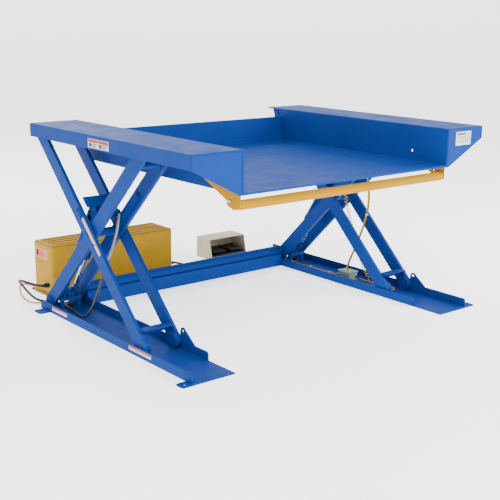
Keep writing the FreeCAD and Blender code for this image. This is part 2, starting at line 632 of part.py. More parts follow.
def build_prop():
    """A swing-down maintenance prop on the left inner leg, with a shouldered stud through its boss."""
    face, gap, thickness, boss_along, tip_along = inner_leg_x[0][1], 1.0, 8.0, 286.0, 52.0
    x0, x1 = face + gap, face + gap + thickness
    boss, tip = on_inner_leg(boss_along, 0), on_inner_leg(tip_along, 0)
    half, boss_radius, stud_radius, head_radius, head_height = 13.0, 20.0, 8.0, 14.0, 4.0
    away = ((tip[0] - boss[0]), (tip[1] - boss[1]))
    length = math.hypot(*away)
    across = (-away[1] / length * half, away[0] / length * half)
    corners = [(y + side * across[0], z + side * across[1])
               for (y, z), side in ((boss, 1), (tip, 1), (tip, -1), (boss, -1))]
    prop = fuse([prism_x(corners, x0, x1), rod_x(x0, x1, *boss, boss_radius)])
    prop = prop.cut(rod_x(x0 - over, x1 + over, *boss, stud_radius + running_clearance))
    export("maintenance_prop", [mirrored(prop)])
    head = x1 + gap
    stud = fuse([rod_x(face, head, *boss, stud_radius), rod_x(head, head + head_height, *boss, head_radius)])
    export("prop_stud", [mirrored(stud)])


def build_junction_box():
    x0, x1, y, half, height = 762.0, 830.0, front + 800.0, 46.0, 52.0
    corner, lid_rim, lid_height, lid_corner = 6.0, 3.0, 8.0, 3.0
    case = rounded(block(x0, x1, y - half, y + half, plate, height), corner,
                   lambda p: abs(p.z - (height + plate) / 2) < 1)
    lid_top = height + lid_height
    lid = block(x0 - lid_rim, x1 + lid_rim, y - half - lid_rim, y + half + lid_rim, height, lid_top)
    export("junction_box", [fuse([case, rounded(lid, lid_corner, lambda p: p.z > lid_top - 1)])])


# Hoses and cords

def depth_to_arc(cut, turn):
    """How far inside its corner an arc's middle passes."""
    radius = cut / math.tan(turn / 2)
    return radius / math.cos(turn / 2) - radius


def route_tube(name, points, radius):
    """One swept tube of straight runs joined by tangent arcs, as large as the runs allow."""
    arc_share = 0.45            # of the shorter run beside a corner
    spots = [Vector(*p) for p in points]
    edges, start, radii = [], spots[0], []
    for before, here, after in zip(spots, spots[1:], spots[2:]):
        back, ahead = (before - here), (after - here)
        turn = math.pi - back.getAngle(ahead)
        cut = arc_share * min(back.Length, ahead.Length)
        radii.append(cut / math.tan(turn / 2))
        first = here + back.normalize() * cut
        last = here + ahead.normalize() * cut
        inward = (first + last) * 0.5 - here
        middle = here + inward.normalize() * depth_to_arc(cut, turn)
        edges += [Part.LineSegment(start, first).toShape(), Part.Arc(first, middle, last).toShape()]
        start = last
    edges.append(Part.LineSegment(start, spots[-1]).toShape())
    path = Part.Wire(edges)
    heading = spots[1] - spots[0]
    section = Part.Wire([Part.makeCircle(radius, spots[0], heading)])
    tube = path.makePipeShell([section], True, False)
    expected = math.pi * radius ** 2 * path.Length
    print(name, "length", round(path.Length), "radii", [round(r) for r in radii],
          "volume ratio", round(tube.Volume / expected, 3))
    export(name, [tube])


def build_cords():
    hose, cord, cable, curl = 6.5, 4.5, 5.5, 12.0
    route_tube("ram_hose_left", [
        (-795.5, front + 1578, 62), (-840, front + 1580, 66), (-894, front + 1580, 92),
        (-950, front + 1572, 118), (-984, front + 1526, 134), (-990, front + 1468, 120),
        (-968, front + 1430, 76), (-926, front + 1430, 38), (-878, front + 1430, 20),
        (-836, front + 1402, 16), (-818, front + 1354, 14), (-822, front + 1265, 14),
        (-832, front + 1185, 14),
        (-850, front + 1100, 15), (-860, front + 1020, 34), (-850, front + 960, 110),
        (-832, front + 928, 215), (-808, front + 890, 330), (-790, front + 852, 440),
        (-776, front + 836, 520), (-757, front + 846, 588)], hose)
    route_tube("supply_cord_left", [
        (-795, front + 1612, 52), (-846, front + 1612, 57), (-910, front + 1604, 88),
        (-964, front + 1566, 96), (-982, front + 1508, 52), (-950, front + 1476, 14),
        (-890, front + 1462, 7), (-832, front + 1434, 8), (-808, front + 1370, 14),
        (-795, front + 1307.5, 17)], cord)
    route_tube("supply_hose_right", [
        (40.5, front + 1578, 62), (92, front + 1577, 56), (165, front + 1566, 26),
        (258, front + 1540, 10), (352, front + 1500, 7), (450, front + 1478, 7), (550, front + 1490, 7),
        (645, front + 1520, 7), (730, front + 1530, 7), (795, front + 1500, 8), (826, front + 1440, 15),
        (826, front + 1376, 17), (825, front + 1322.5, 17)], hose)
    route_tube("foot_switch_cord", [
        (790, front + 1322.5, 17), (790, front + 1366, 18), (800, front + 1424, 26),
        (842, front + 1482, 26), (886, front + 1552, 9), (876, front + 1632, 5),
        (812, front + 1668, 5), (748, front + 1640, 5), (690, front + 1596, 5), (620, front + 1572, 5),
        (550, front + 1582, 5), (514, front + 1606, 6), (500, front + 1638, 11),
        (500, front + 1659, 13)], cord)
    route_tube("deck_cable_right", [
        (800, front + 760, 972), (804, front + 757, 900), (812, front + 736, 800),
        (816, front + 700, 690), (813, front + 674, 585), (804, front + 660, 480),
        (786, front + 668, 375), (768, front + 694, 280), (774, front + 734, 200),
        (786, front + 776, 140), (794, front + 800, 95), (796, front + 806, 62)], cable)
    route_tube("coil_cord_right", [
        (810, front + 878, 971.5), (809, front + 874, 890), (806, front + 868, 770),
        (804, front + 858, 640), (802, front + 852, 540), (800, front + 838, 460),
        (799, front + 806, 385), (797, front + 764, 290), (799, front + 722, 200),
        (801, front + 690, 120), (801, front + 645, 56), (800, front + 600, 26)], curl)


build_base()
build_inner_legs()
build_outer_legs()
build_rams()
build_deck()
build_toe_guard()
build_power_unit()
build_foot_switch()
build_prop()
build_junction_box()
build_cords()
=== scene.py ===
import json
import math

import bmesh
import bpy
from mathutils import Matrix, Vector


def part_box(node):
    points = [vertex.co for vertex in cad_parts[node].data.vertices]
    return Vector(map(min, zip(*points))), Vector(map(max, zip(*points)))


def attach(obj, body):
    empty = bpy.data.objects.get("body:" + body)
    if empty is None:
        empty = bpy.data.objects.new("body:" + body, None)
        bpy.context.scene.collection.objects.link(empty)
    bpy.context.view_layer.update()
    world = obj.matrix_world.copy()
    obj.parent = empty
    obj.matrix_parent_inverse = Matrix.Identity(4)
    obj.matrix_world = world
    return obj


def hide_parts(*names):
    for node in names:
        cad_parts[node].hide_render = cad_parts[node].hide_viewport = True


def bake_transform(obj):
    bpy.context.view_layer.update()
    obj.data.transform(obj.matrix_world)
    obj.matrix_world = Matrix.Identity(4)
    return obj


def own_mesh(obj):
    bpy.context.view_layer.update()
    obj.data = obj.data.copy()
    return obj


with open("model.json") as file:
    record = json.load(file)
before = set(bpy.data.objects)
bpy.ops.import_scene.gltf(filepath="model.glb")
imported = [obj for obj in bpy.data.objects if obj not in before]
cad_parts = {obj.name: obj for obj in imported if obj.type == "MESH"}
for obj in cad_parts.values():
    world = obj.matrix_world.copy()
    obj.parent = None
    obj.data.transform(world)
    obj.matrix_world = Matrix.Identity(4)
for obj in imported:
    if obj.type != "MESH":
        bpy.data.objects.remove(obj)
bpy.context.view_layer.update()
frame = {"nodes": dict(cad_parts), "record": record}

# Ground-level scissor lift table, raised. Metres, +Z up, +Y to the rear, +X to the right.
# A route or a place below is given as (x, distance behind the deck's front edge, z).

nodes = frame["nodes"]
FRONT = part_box("deck_plate")[0][1]
LEFT, RIGHT = -1, 1
SIDES = ((LEFT, "left"), (RIGHT, "right"))

# Camera: where it stands, which way it looks, and its lens on a 36 mm sensor
CAMERA_PLACE = (-3.1234, -3.7236, 1.5275)
CAMERA_YAW, CAMERA_PITCH, CAMERA_ROLL = 0.68775, -0.24257, 0.0109
LENS = 67.77


def place(x, back, z):
    return Vector((x, FRONT + back, z))


def link(obj):
    bpy.context.scene.collection.objects.link(obj)
    return obj


def make_camera():
    cos_p, sin_p = math.cos(CAMERA_PITCH), math.sin(CAMERA_PITCH)
    forward = Vector((math.sin(CAMERA_YAW) * cos_p, math.cos(CAMERA_YAW) * cos_p, sin_p))
    right = Vector((math.cos(CAMERA_YAW), -math.sin(CAMERA_YAW), 0.0))
    up = right.cross(forward)
    c, s = math.cos(CAMERA_ROLL), math.sin(CAMERA_ROLL)
    turned_right, turned_up = right * c + up * s, up * c - right * s
    data = bpy.data.cameras.new("camera")
    data.lens, data.sensor_width, data.clip_end = LENS, 36.0, 100.0
    camera = link(bpy.data.objects.new("camera", data))
    rotation = Matrix((turned_right, turned_up, -forward)).transposed()
    camera.matrix_world = Matrix.Translation(CAMERA_PLACE) @ rotation.to_4x4()
    bpy.context.scene.camera = camera


# Materials

class Nodes:
    """A material's node tree, with its shader and short ways to add to it."""

    def __init__(self, name):
        self.material = bpy.data.materials.new(name)
        self.material.use_nodes = True
        self.tree = self.material.node_tree
        self.shader = self.tree.nodes["Principled BSDF"]
        self.coordinates = self.add("ShaderNodeTexCoord")

    def add(self, kind, **values):
        node = self.tree.nodes.new(kind)
        for key, value in values.items():
            if hasattr(node, key):
                setattr(node, key, value)
            else:
                node.inputs[key.replace("_", " ")].default_value = value
        return node

    def join(self, source, target):
        self.tree.links.new(source, target)

    def noise(self, scale, detail=4.0, roughness=0.5, stretch=None, space="Object"):
        node = self.add("ShaderNodeTexNoise", Scale=scale, Detail=detail, Roughness=roughness)
        source = self.coordinates.outputs[space]
        if stretch:
            mapping = self.add("ShaderNodeMapping")
            mapping.inputs["Scale"].default_value = stretch
            self.join(source, mapping.inputs["Vector"])
            source = mapping.outputs["Vector"]
        self.join(source, node.inputs["Vector"])
        return node.outputs["Fac"]

    def between(self, factor, low, high, low_at=0.3, high_at=0.7):
        """The factor carried onto a range of roughness or of blend."""
        node = self.add("ShaderNodeMapRange")
        for name, value in (("From Min", low_at), ("From Max", high_at), ("To Min", low), ("To Max", high)):
            node.inputs[name].default_value = value
        self.join(factor, node.inputs["Value"])
        return node.outputs["Result"]

    def blend(self, factor, first, second):
        node = self.add("ShaderNodeMix", data_type="RGBA")
        colours = [s for s in node.inputs if s.type == "RGBA"]
        self.join(factor, node.inputs[0])
        for socket, value in zip(colours, (first, second)):
            if isinstance(value, tuple):
                socket.default_value = (*value, 1.0)
            else:
                self.join(value, socket)
        return [s for s in node.outputs if s.type == "RGBA"][0]

    def set(self, **values):
        for key, value in values.items():
            self.shader.inputs[key.replace("_", " ")].default_value = value

    def colour(self, output):
        self.join(output, self.shader.inputs["Base Color"])

    def roughness(self, output):
        self.join(output, self.shader.inputs["Roughness"])

    def bump(self, height, strength, distance, edge=None):
        """Fine relief, over edges that look rounded by the given radius."""
        node = self.add("ShaderNodeBump", Strength=strength, Distance=distance)
        self.join(height, node.inputs["Height"])
        if edge:
            bevel = self.add("ShaderNodeBevel", samples=4, Radius=edge)
            self.join(bevel.outputs["Normal"], node.inputs["Normal"])
        self.join(node.outputs["Normal"], self.shader.inputs["Normal"])


def paint(name, colour, shade, gloss, edge=0.0018):
    """Sprayed enamel: a little orange peel, cloudy tone, and dust that dulls it in patches."""
    clouds, patches, specks, peel, sheen = 3.0, 9.0, 26.0, 260.0, 0.05
    dusty = tuple(0.8 * c + 0.03 for c in colour)
    n = Nodes(name)
    tone = n.blend(n.between(n.noise(clouds), 0.0, 1.0), colour, shade)
    dust = n.between(n.noise(specks, 8.0, 0.65), 0.0, 0.06, 0.52, 0.75)
    n.colour(n.blend(dust, tone, dusty))
    n.roughness(n.between(n.noise(patches, 6.0), gloss, gloss + 0.13))
    n.set(Specular_IOR_Level=sheen)
    n.bump(n.noise(peel, 2.0), 0.05, 0.0006, edge)
    return n.material


def plastic(name, colour, gloss, grain=420.0, depth=0.14, edge=0.0012):
    """Moulded plastic with a fine grain and slightly uneven tone."""
    clouds, patches, sheen = 14.0, 40.0, 0.2
    n = Nodes(name)
    n.colour(n.blend(n.between(n.noise(clouds), 0.0, 1.0), colour, tuple(c * 0.82 for c in colour)))
    n.roughness(n.between(n.noise(patches), gloss, gloss + 0.12))
    n.set(Specular_IOR_Level=sheen)
    n.bump(n.noise(grain, 3.0), depth, 0.0008, edge)
    return n.material


def metal(name, colour, gloss, stretch, edge=0.0006):
    """Bare or plated metal with fine lines along or round it."""
    clouds, wear, lines = 30.0, 60.0, 240.0
    n = Nodes(name)
    n.colour(n.blend(n.between(n.noise(clouds), 0.0, 1.0), colour, tuple(c * 0.8 for c in colour)))
    n.roughness(n.between(n.noise(wear, 4.0, 0.5, stretch), gloss, gloss + 0.14))
    n.set(Metallic=1.0)
    n.bump(n.noise(lines, 3.0, 0.5, stretch), 0.05, 0.0004, edge)
    return n.material


def sheathed_hose(name, rubber, sheath, change):
    """Black rubber whose upper stretch, above a share of its height, wears a grey woven sleeve."""
    fade, weave, wear, grain = 0.02, 320.0, 70.0, 420.0
    n = Nodes(name)
    split = n.add("ShaderNodeSeparateXYZ")
    n.join(n.coordinates.outputs["Generated"], split.inputs["Vector"])
    upper = n.between(split.outputs["Z"], 0.0, 1.0, change - fade, change + fade)
    sleeve = n.blend(n.between(n.noise(weave, 2.0), 0.0, 1.0), sheath, tuple(c * 0.45 for c in sheath))
    n.colour(n.blend(upper, rubber, sleeve))
    n.roughness(n.between(n.noise(wear), 0.38, 0.6))
    n.bump(n.noise(grain, 2.0), 0.12, 0.0006)
    return n.material


BARE_CHROME = (0.82, 0.83, 0.85)
RUBBER = (0.010, 0.010, 0.011)
PAINTED_SHARE, SLEEVED_SHARE = 0.20, 0.60       # of a ram rod's height, and where the hose's sleeve starts
BLUE = (0.0045, 0.036, 0.20)
materials = {
    "blue_paint": paint("blue enamel", BLUE, (0.0038, 0.031, 0.178), 0.42),
    "yellow_paint": paint("yellow enamel", (0.40, 0.190, 0.0), (0.36, 0.170, 0.0), 0.52),
    "cover_yellow": plastic("cover plastic", (0.44, 0.235, 0.0), 0.60, 180.0, 0.10, 0.003),
    # The dark enamel is laid on the axle's end on each outer leg, where it is painted shade for the axle
    # hole.
    "dark_paint": paint("dark enamel", (0.030, 0.033, 0.038), (0.022, 0.024, 0.028), 0.45),
    "aluminium": metal("cast aluminium", (0.62, 0.63, 0.65), 0.38, (1.0, 1.0, 1.0)),
    "chrome": metal("chromed rod", BARE_CHROME, 0.08, (1.0, 14.0, 14.0)),
    "zinc_steel": metal("zinc plate", (0.52, 0.54, 0.58), 0.28, (1.0, 6.0, 6.0)),
    "black_plastic": plastic("black plastic", (0.012, 0.012, 0.013), 0.45),
    "cream_plastic": plastic("cream plastic", (0.46, 0.42, 0.28), 0.46),
    "grey_plastic": plastic("grey plastic", (0.20, 0.27, 0.245), 0.46),
    "black_rubber": plastic("black rubber", RUBBER, 0.42, 300.0, 0.10, 0.0),
    "yellow_cord": plastic("yellow cord jacket", (0.46, 0.25, 0.0), 0.46, 260.0, 0.08, 0.0),
}
sleeved_rubber = sheathed_hose("sleeved hose", RUBBER, (0.30, 0.31, 0.30), SLEEVED_SHARE)
white_print = plastic("white label", (0.60, 0.61, 0.62), 0.30, 500.0, 0.03, 0.0)
orange_print = plastic("orange label", (0.60, 0.06, 0.0), 0.30, 500.0, 0.03, 0.0)
red_print = plastic("red label", (0.40, 0.008, 0.010), 0.30, 500.0, 0.03, 0.0)
tie_white = plastic("tie nylon", (0.80, 0.81, 0.80), 0.36, 400.0, 0.08, 0.0)
dark_print = plastic("dark ink", (0.02, 0.02, 0.022), 0.30, 500.0, 0.03, 0.0)
INKS = (white_print, orange_print, red_print, dark_print)
WHITE, ORANGE, RED, DARK = range(4)


def painted_rod(name, chrome, colour, foot):
    """A chromed rod on an eye that is painted up to a share of the height."""
    fade, lines = 0.004, 240.0
    n = Nodes(name)
    split = n.add("ShaderNodeSeparateXYZ")
    n.join(n.coordinates.outputs["Generated"], split.inputs["Vector"])
    bright = n.between(split.outputs["Z"], 0.0, 1.0, foot - fade, foot + fade)
    n.colour(n.blend(bright, colour, chrome))
    n.join(bright, n.shader.inputs["Metallic"])
    n.roughness(n.between(bright, 0.34, 0.09, 0.0, 1.0))
    n.bump(n.noise(lines, 3.0, 0.5, (1.0, 14.0, 14.0)), 0.04, 0.0004, 0.0006)
    return n.material


def dress_frame():
    """The CAD nodes get the finish of their slot, and the ram rods a chrome finish painted at the eye."""
    rod_finish = painted_rod("ram rod", BARE_CHROME, BLUE, PAINTED_SHARE)
    slots = {row["node"]: row["material_slot"] for row in frame["record"]["subparts"]}
    for name, obj in nodes.items():
        for slot in obj.material_slots:
            slot.link = "OBJECT"
            slot.material = rod_finish if name.startswith("ram_rods") else materials[slots[name]]


# Mesh helpers

def finished(name, mesh, finish, body, smooth=True):
    mesh.normal_update()
    data = bpy.data.meshes.new(name)
    mesh.to_mesh(data)
    mesh.free()
    if smooth:
        data.shade_smooth()
        data.set_sharp_from_angle(angle=math.radians(35))
    for one in finish if isinstance(finish, tuple) else (finish,):
        data.materials.append(one)
    obj = link(bpy.data.objects.new(name, data))
    if body:
        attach(obj, body)
    return obj


def frame_along(direction):
    """Two unit vectors square to a direction."""
    d = Vector(direction).normalized()
    side = d.cross(Vector((0, 0, 1)) if abs(d.z) < 0.9 else Vector((0, 1, 0))).normalized()
    return side, d.cross(side)


def add_lathe(mesh, start, direction, profile, steps=28):
    """A turned piece: (distance along, radius) pairs round an axis, closed at both ends."""
    start, d = Vector(start), Vector(direction).normalized()
    side, up = frame_along(d)
    rings = []
    for along, radius in profile:
        centre = start + d * along
        rings.append([mesh.verts.new(centre + (side * math.cos(t) + up * math.sin(t)) * radius)
                      for t in (math.tau * i / steps for i in range(steps))])
    for first, second in zip(rings, rings[1:]):
        for i in range(steps):
            j = (i + 1) % steps
            mesh.faces.new((first[i], first[j], second[j], second[i]))
    mesh.faces.new(list(reversed(rings[0])))
    mesh.faces.new(rings[-1])


def add_bolt(mesh, centre, direction, radius, height):
    """A washer under a hexagon head with a turned-down top."""
    add_lathe(mesh, centre, direction, [(0, radius * 1.45), (height * 0.22, radius * 1.45),
                                        (height * 0.24, radius * 1.38)], 24)
    add_lathe(mesh, centre, direction, [(height * 0.2, radius), (height * 0.85, radius),
                                        (height, radius * 0.86)], 6)


def add_tube(mesh, path, radius, sides=12):
    """A round tube along points, carried round its bends without twist."""
    side = frame_along(path[1] - path[0])[0]
    rings = []
    for i, point in enumerate(path):
        ahead = (path[min(i + 1, len(path) - 1)] - path[max(i - 1, 0)]).normalized()
        side = (side - ahead * side.dot(ahead)).normalized()
        up = ahead.cross(side)
        rings.append([mesh.verts.new(point + (side * math.cos(t) + up * math.sin(t)) * radius)
                      for t in (math.tau * k / sides for k in range(sides))])
    for first, second in zip(rings, rings[1:]):
        for k in range(sides):
            m = (k + 1) % sides
            mesh.faces.new((first[k], first[m], second[m], second[k]))
    mesh.faces.new(list(reversed(rings[0])))
    mesh.faces.new(rings[-1])
    bmesh.ops.recalc_face_normals(mesh, faces=mesh.faces[:])


# Labels, welds and small fixings

LEG_ANGLE = math.atan2(0.9005, 0.922)
MIDDLE_BACK, MIDDLE_Z = 0.898, 0.49625
OUTER_FACE, MIDDLE_TUBE, BRACE_TUBE = 0.9095, 0.021, 0.016
INNER_LEG_FACES, OUTER_LEG_FACES = (0.7465, 0.8695), (0.7245, 0.8915)      # towards each other
BRACE_ALONG, BRACKET_TUBE_PLACE = 0.540, (0.062, 0.056)
SKIRT_FACE, RAIL_FACE, COVER_FACE = 0.937, 0.920, 0.780
ALONG_LEG = Vector((0, math.cos(LEG_ANGLE), math.sin(LEG_ANGLE)))
ABOVE_LEG = Vector((0, -math.sin(LEG_ANGLE), math.cos(LEG_ANGLE)))
UP = Vector((0, 0, 1))


def on_outer_leg(x, along, above):
    return place(x, MIDDLE_BACK, MIDDLE_Z) + ALONG_LEG * along + ABOVE_LEG * above


def add_sheet(mesh, origin, across, up, low, high, level, depth, corner, ink=0):
    """A thin sheet with round corners, standing on a face that looks along across x up."""
    normal = across.cross(up)
    (u0, v0), (u1, v1) = low, high
    centres = ((u1 - corner, v1 - corner), (u0 + corner, v1 - corner), (u0 + corner, v0 + corner),
               (u1 - corner, v0 + corner))
    outline = [(u + corner * math.cos(t), v + corner * math.sin(t)) for quarter, (u, v) in enumerate(centres)
               for t in (math.pi / 2 * (quarter + k / 3) for k in range(4))]
    rings = [[mesh.verts.new(origin + across * u + up * v + normal * h) for u, v in outline]
             for h in (level, level + depth)]
    faces = [mesh.faces.new(rings[1]), mesh.faces.new(rings[0][::-1])]
    for i in range(len(outline)):
        j = (i + 1) % len(outline)
        faces.append(mesh.faces.new((rings[0][i], rings[0][j], rings[1][j], rings[1][i])))
    for face in faces:
        face.material_index = ink


def label(name, body, origin, across, up, size, panels):
    """A printed sheet; each panel is (left, low, right, high, ink) in shares of its size."""
    mesh = bmesh.new()
    across, up = Vector(across), Vector(up)
    width, height = size
    add_sheet(mesh, origin, across, up, (0, 0), size, 0.0001, 0.0004, 0.002, WHITE)
    for u0, v0, u1, v1, ink in panels:
        add_sheet(mesh, origin, across, up, (u0 * width, v0 * height), (u1 * width, v1 * height),
                  0.0005, 0.0002, 0.0008, ink)
    return finished(name, mesh, INKS, body, smooth=False)


def add_weld(mesh, start, end, radius, pitch=0.007):
    """A bead of overlapping ripples laid into a corner."""
    start, end = Vector(start), Vector(end)
    length = (end - start).length
    count = max(3, int(length / pitch))
    profile = [(0.0, radius * 0.4)]
    for i in range(count):
        profile += [(length * (i + 0.15) / count, radius * 0.84), (length * (i + 0.6) / count, radius)]
    add_lathe(mesh, start, end - start, profile + [(length, radius * 0.4)], 8)


def add_ring_weld(mesh, centre, direction, radius):
    """A fillet of weld round a tube where it meets a plate."""
    add_lathe(mesh, centre, direction, [(0.0, radius + 0.0034), (0.0010, radius + 0.0031),
                                        (0.0024, radius + 0.0016), (0.0036, radius - 0.0004)], 32)


def add_tie(mesh, centre, direction, wide, tall):
    """A nylon tie pulled round a pair of leads, with its head on one side."""
    steps = 20
    d = Vector(direction).normalized()
    side, up = frame_along(d)
    rings = []
    for along, swell in ((-0.0019, 0.0), (-0.0015, 0.0009), (0.0015, 0.0009), (0.0019, 0.0)):
        rings.append([mesh.verts.new(centre + d * along + side * math.cos(t) * (wide + swell)
                                     + up * math.sin(t) * (tall + swell))
                      for t in (math.tau * i / steps for i in range(steps))])
    for first, second in zip(rings, rings[1:]):
        for i in range(steps):
            j = (i + 1) % steps
            mesh.faces.new((first[i], first[j], second[j], second[i]))
    mesh.faces.new(rings[0][::-1])
    mesh.faces.new(rings[-1])
    head = centre + side * (wide + 0.0015)
    add_lathe(mesh, head - side * 0.001, side, [(0, 0.0026), (0.003, 0.0026), (0.0036, 0.0020)], 8)


def build_labels():
    forward, right = (0, -1, 0), (1, 0, 0)
    stripe = [(0.004, 0.50, 0.996, 0.97, ORANGE)]
    label("leg_stripe", "outer_legs_left", on_outer_leg(-OUTER_FACE, 0.083, 0.011), -ALONG_LEG, ABOVE_LEG,
          (0.223, 0.022), stripe)
    for name, start, length in (("rear", 1.275, 0.158), ("front", 0.524, 0.187)):
        label("rail_stripe_" + name, "base", place(-RAIL_FACE, start, 0.018), forward, UP,
              (length, 0.020), stripe)
    label("cover_label", "base", place(-COVER_FACE, 1.716, 0.204), forward, UP, (0.128, 0.050),
          [(0.02, 0.05, 0.78, 0.95, ORANGE), (0.82, 0.12, 0.97, 0.88, ORANGE), (0.08, 0.2, 0.2, 0.8, WHITE)])
    panels = []
    for left in (0.02, 0.51):
        panels += [(left, 0.60, left + 0.47, 0.95, RED), (left + 0.03, 0.10, left + 0.16, 0.52, DARK),
                   (left + 0.20, 0.38, left + 0.45, 0.50, DARK), (left + 0.20, 0.12, left + 0.38, 0.26, DARK)]
    label("skirt_label", "deck", place(-SKIRT_FACE, 0.815, 0.932), forward, UP, (0.183, 0.042), panels)
    lines = [(0.08, 0.76, 0.62, 0.88, DARK)]
    lines += [(0.08, v, 0.92, v + 0.035, DARK) for v in (0.60, 0.47, 0.34, 0.21)]
    label("end_plate_label", "deck", place(0.726, 0, 0.901), right, UP, (0.119, 0.070), lines)


def build_welds():
    blue = materials["blue_paint"]
    deck, bead, fine_bead = bmesh.new(), 0.0035, 0.0024
    wall, back, top, deck_top, wall_top = 0.6605, 1.282, 0.984, 0.805, 0.944
    front_start, end_plate_top = 0.012, top + 0.001
    end_wall, end_skirt, end_wall_low, end_skirt_low = 0.6675, 0.931, 0.797, 0.927
    add_weld(deck, place(-wall, back, deck_top), place(wall, back, deck_top), bead)
    for side in (LEFT, RIGHT):
        seams = (((wall, front_start, deck_top), (wall, back, deck_top), bead),
                 ((wall, back, deck_top), (wall, back, wall_top), bead),
                 ((end_skirt, 0, end_skirt_low), (end_skirt, 0, top), fine_bead),
                 ((end_wall, 0, end_wall_low), (end_wall, 0, top), fine_bead),
                 ((end_wall, 0, end_plate_top), (end_skirt - 0.001, 0, end_plate_top), fine_bead))
        for (x0, y0, z0), (x1, y1, z1), radius in seams:
            add_weld(deck, place(side * x0, y0, z0), place(side * x1, y1, z1), radius)
    finished("deck_welds", deck, blue, "deck")

    base, rail_bead, plate_top = bmesh.new(), 0.003, 0.0065
    ear_faces = (0.7185, 0.7265, 0.7485, 0.7565, 0.8595, 0.8675, 0.8895, 0.8975)
    ear_start, ear_end = 1.315, 1.400
    end_plate, end_plate_edges, rail_low, rail_high = 0.696, (1.294, 1.372), 0.008, 0.044
    tube_end, tube_back, tube_z, tube_radius = 0.690, 1.331, 0.092, 0.030
    for side in (LEFT, RIGHT):
        for x in ear_faces:
            add_weld(base, place(side * x, ear_start, plate_top), place(side * x, ear_end, plate_top),
                     fine_bead)
        for y in end_plate_edges:
            add_weld(base, place(side * end_plate, y, rail_low), place(side * end_plate, y, rail_high),
                     rail_bead)
        add_ring_weld(base, place(side * tube_end, tube_back, tube_z), (-side, 0, 0), tube_radius)
    finished("base_welds", base, blue, "base")

    for side, name in SIDES:
        legs, outer = bmesh.new(), bmesh.new()
        lower = Vector((0, -math.cos(LEG_ANGLE), math.sin(LEG_ANGLE))) * BRACE_ALONG
        for x, way in zip(INNER_LEG_FACES, (side, -side)):
            spot = place(side * x, MIDDLE_BACK, MIDDLE_Z)
            add_ring_weld(legs, spot, (way, 0, 0), MIDDLE_TUBE)
            add_ring_weld(legs, spot + lower, (way, 0, 0), BRACE_TUBE)
        finished("inner_leg_welds_" + name, legs, blue, "inner_legs_" + name)
        for x, way in zip(OUTER_LEG_FACES, (side, -side)):
            add_ring_weld(outer, on_outer_leg(side * x, *BRACKET_TUBE_PLACE), (way, 0, 0), BRACE_TUBE)
        finished("outer_leg_welds_" + name, outer, blue, "outer_legs_" + name)


def build_fixings():
    """A retainer plate and bolts on each outer leg, a dark disc at the axle's end that is painted shade for
    the axle hole, and the small screws of the base.
    """
    blue, zinc = materials["blue_paint"], materials["zinc_steel"]
    plate_place, plate_half, plate_depth, plate_corner = (0.113, 0.014), (0.031, 0.012), 0.004, 0.006
    plate_bolts, leg_bolts, axle = (-0.020, 0.020), ((-0.0036, -0.0007), (-0.0736, 0.009)), (0.437, 0.046)
    axle_shade_disc_profile = [(0, 0.0135), (0.0028, 0.0135), (0.0034, 0.0125), (0.0030, 0.0095), (0.0022, 0.0088)]
    for side, name in SIDES:
        outward, across = Vector((side, 0, 0)), ALONG_LEG * side
        mesh = bmesh.new()
        spot = on_outer_leg(side * OUTER_FACE, *plate_place)
        add_sheet(mesh, spot, across, ABOVE_LEG, tuple(-v for v in plate_half), plate_half, 0.0, plate_depth,
                  plate_corner)
        for along in plate_bolts:
            add_bolt(mesh, spot + ALONG_LEG * along + outward * plate_depth, outward, 0.0055, 0.0035)
        for along, above in leg_bolts:
            add_bolt(mesh, on_outer_leg(side * OUTER_FACE, along, above), outward, 0.006, 0.004)
        finished("leg_fixings_" + name, mesh, blue, "outer_legs_" + name)
        # The dark-enamelled disc at the axle's end is painted shade: it stands in for the dark of the axle
        # hole.
        mesh = bmesh.new()
        add_lathe(mesh, place(side * OUTER_FACE, *axle), outward, axle_shade_disc_profile)
        finished("axle_hole_shade_disc_" + name, mesh, materials["dark_paint"], "outer_legs_" + name)
    screws, lip_top, lid_top = bmesh.new(), 0.011, 0.060
    for x in (-0.72, -0.38, -0.03):
        for y in (1.521, 1.755):
            add_bolt(screws, place(x, y, lip_top), UP, 0.004, 0.0035)
    for x in (0.765, 0.827):
        for y in (0.757, 0.843):
            add_lathe(screws, place(x, y, lid_top), UP, [(0, 0.0036), (0.0014, 0.0036), (0.0022, 0.0024)], 16)
    for x, way in ((0.418, -1), (0.702, 1)):
        for y, z in ((1.690, 0.016), (1.800, 0.016), (1.800, 0.110)):
            add_lathe(screws, place(x, y, z), (way, 0, 0), [(0, 0.005), (0.0016, 0.005), (0.003, 0.0034)], 20)
    finished("small_screws", screws, zinc, "base")


# Hoses and cords

HOSE, CORD, CURL = 0.0065, 0.0045, 0.012
LEAD = 0.0042                   # each of the two leads of the pair that hangs from the deck
CURL_WIRE, CURL_PITCH, CURL_STEPS = 0.0024, 0.019, 16
CURL_TAIL, CURL_RAMP = 0.012, 0.045     # straight at each end, and where the turns set in
CURL_GAP, LEAD_GAP = 0.0003, 0.0002     # inside the solid of the coil, and between two leads

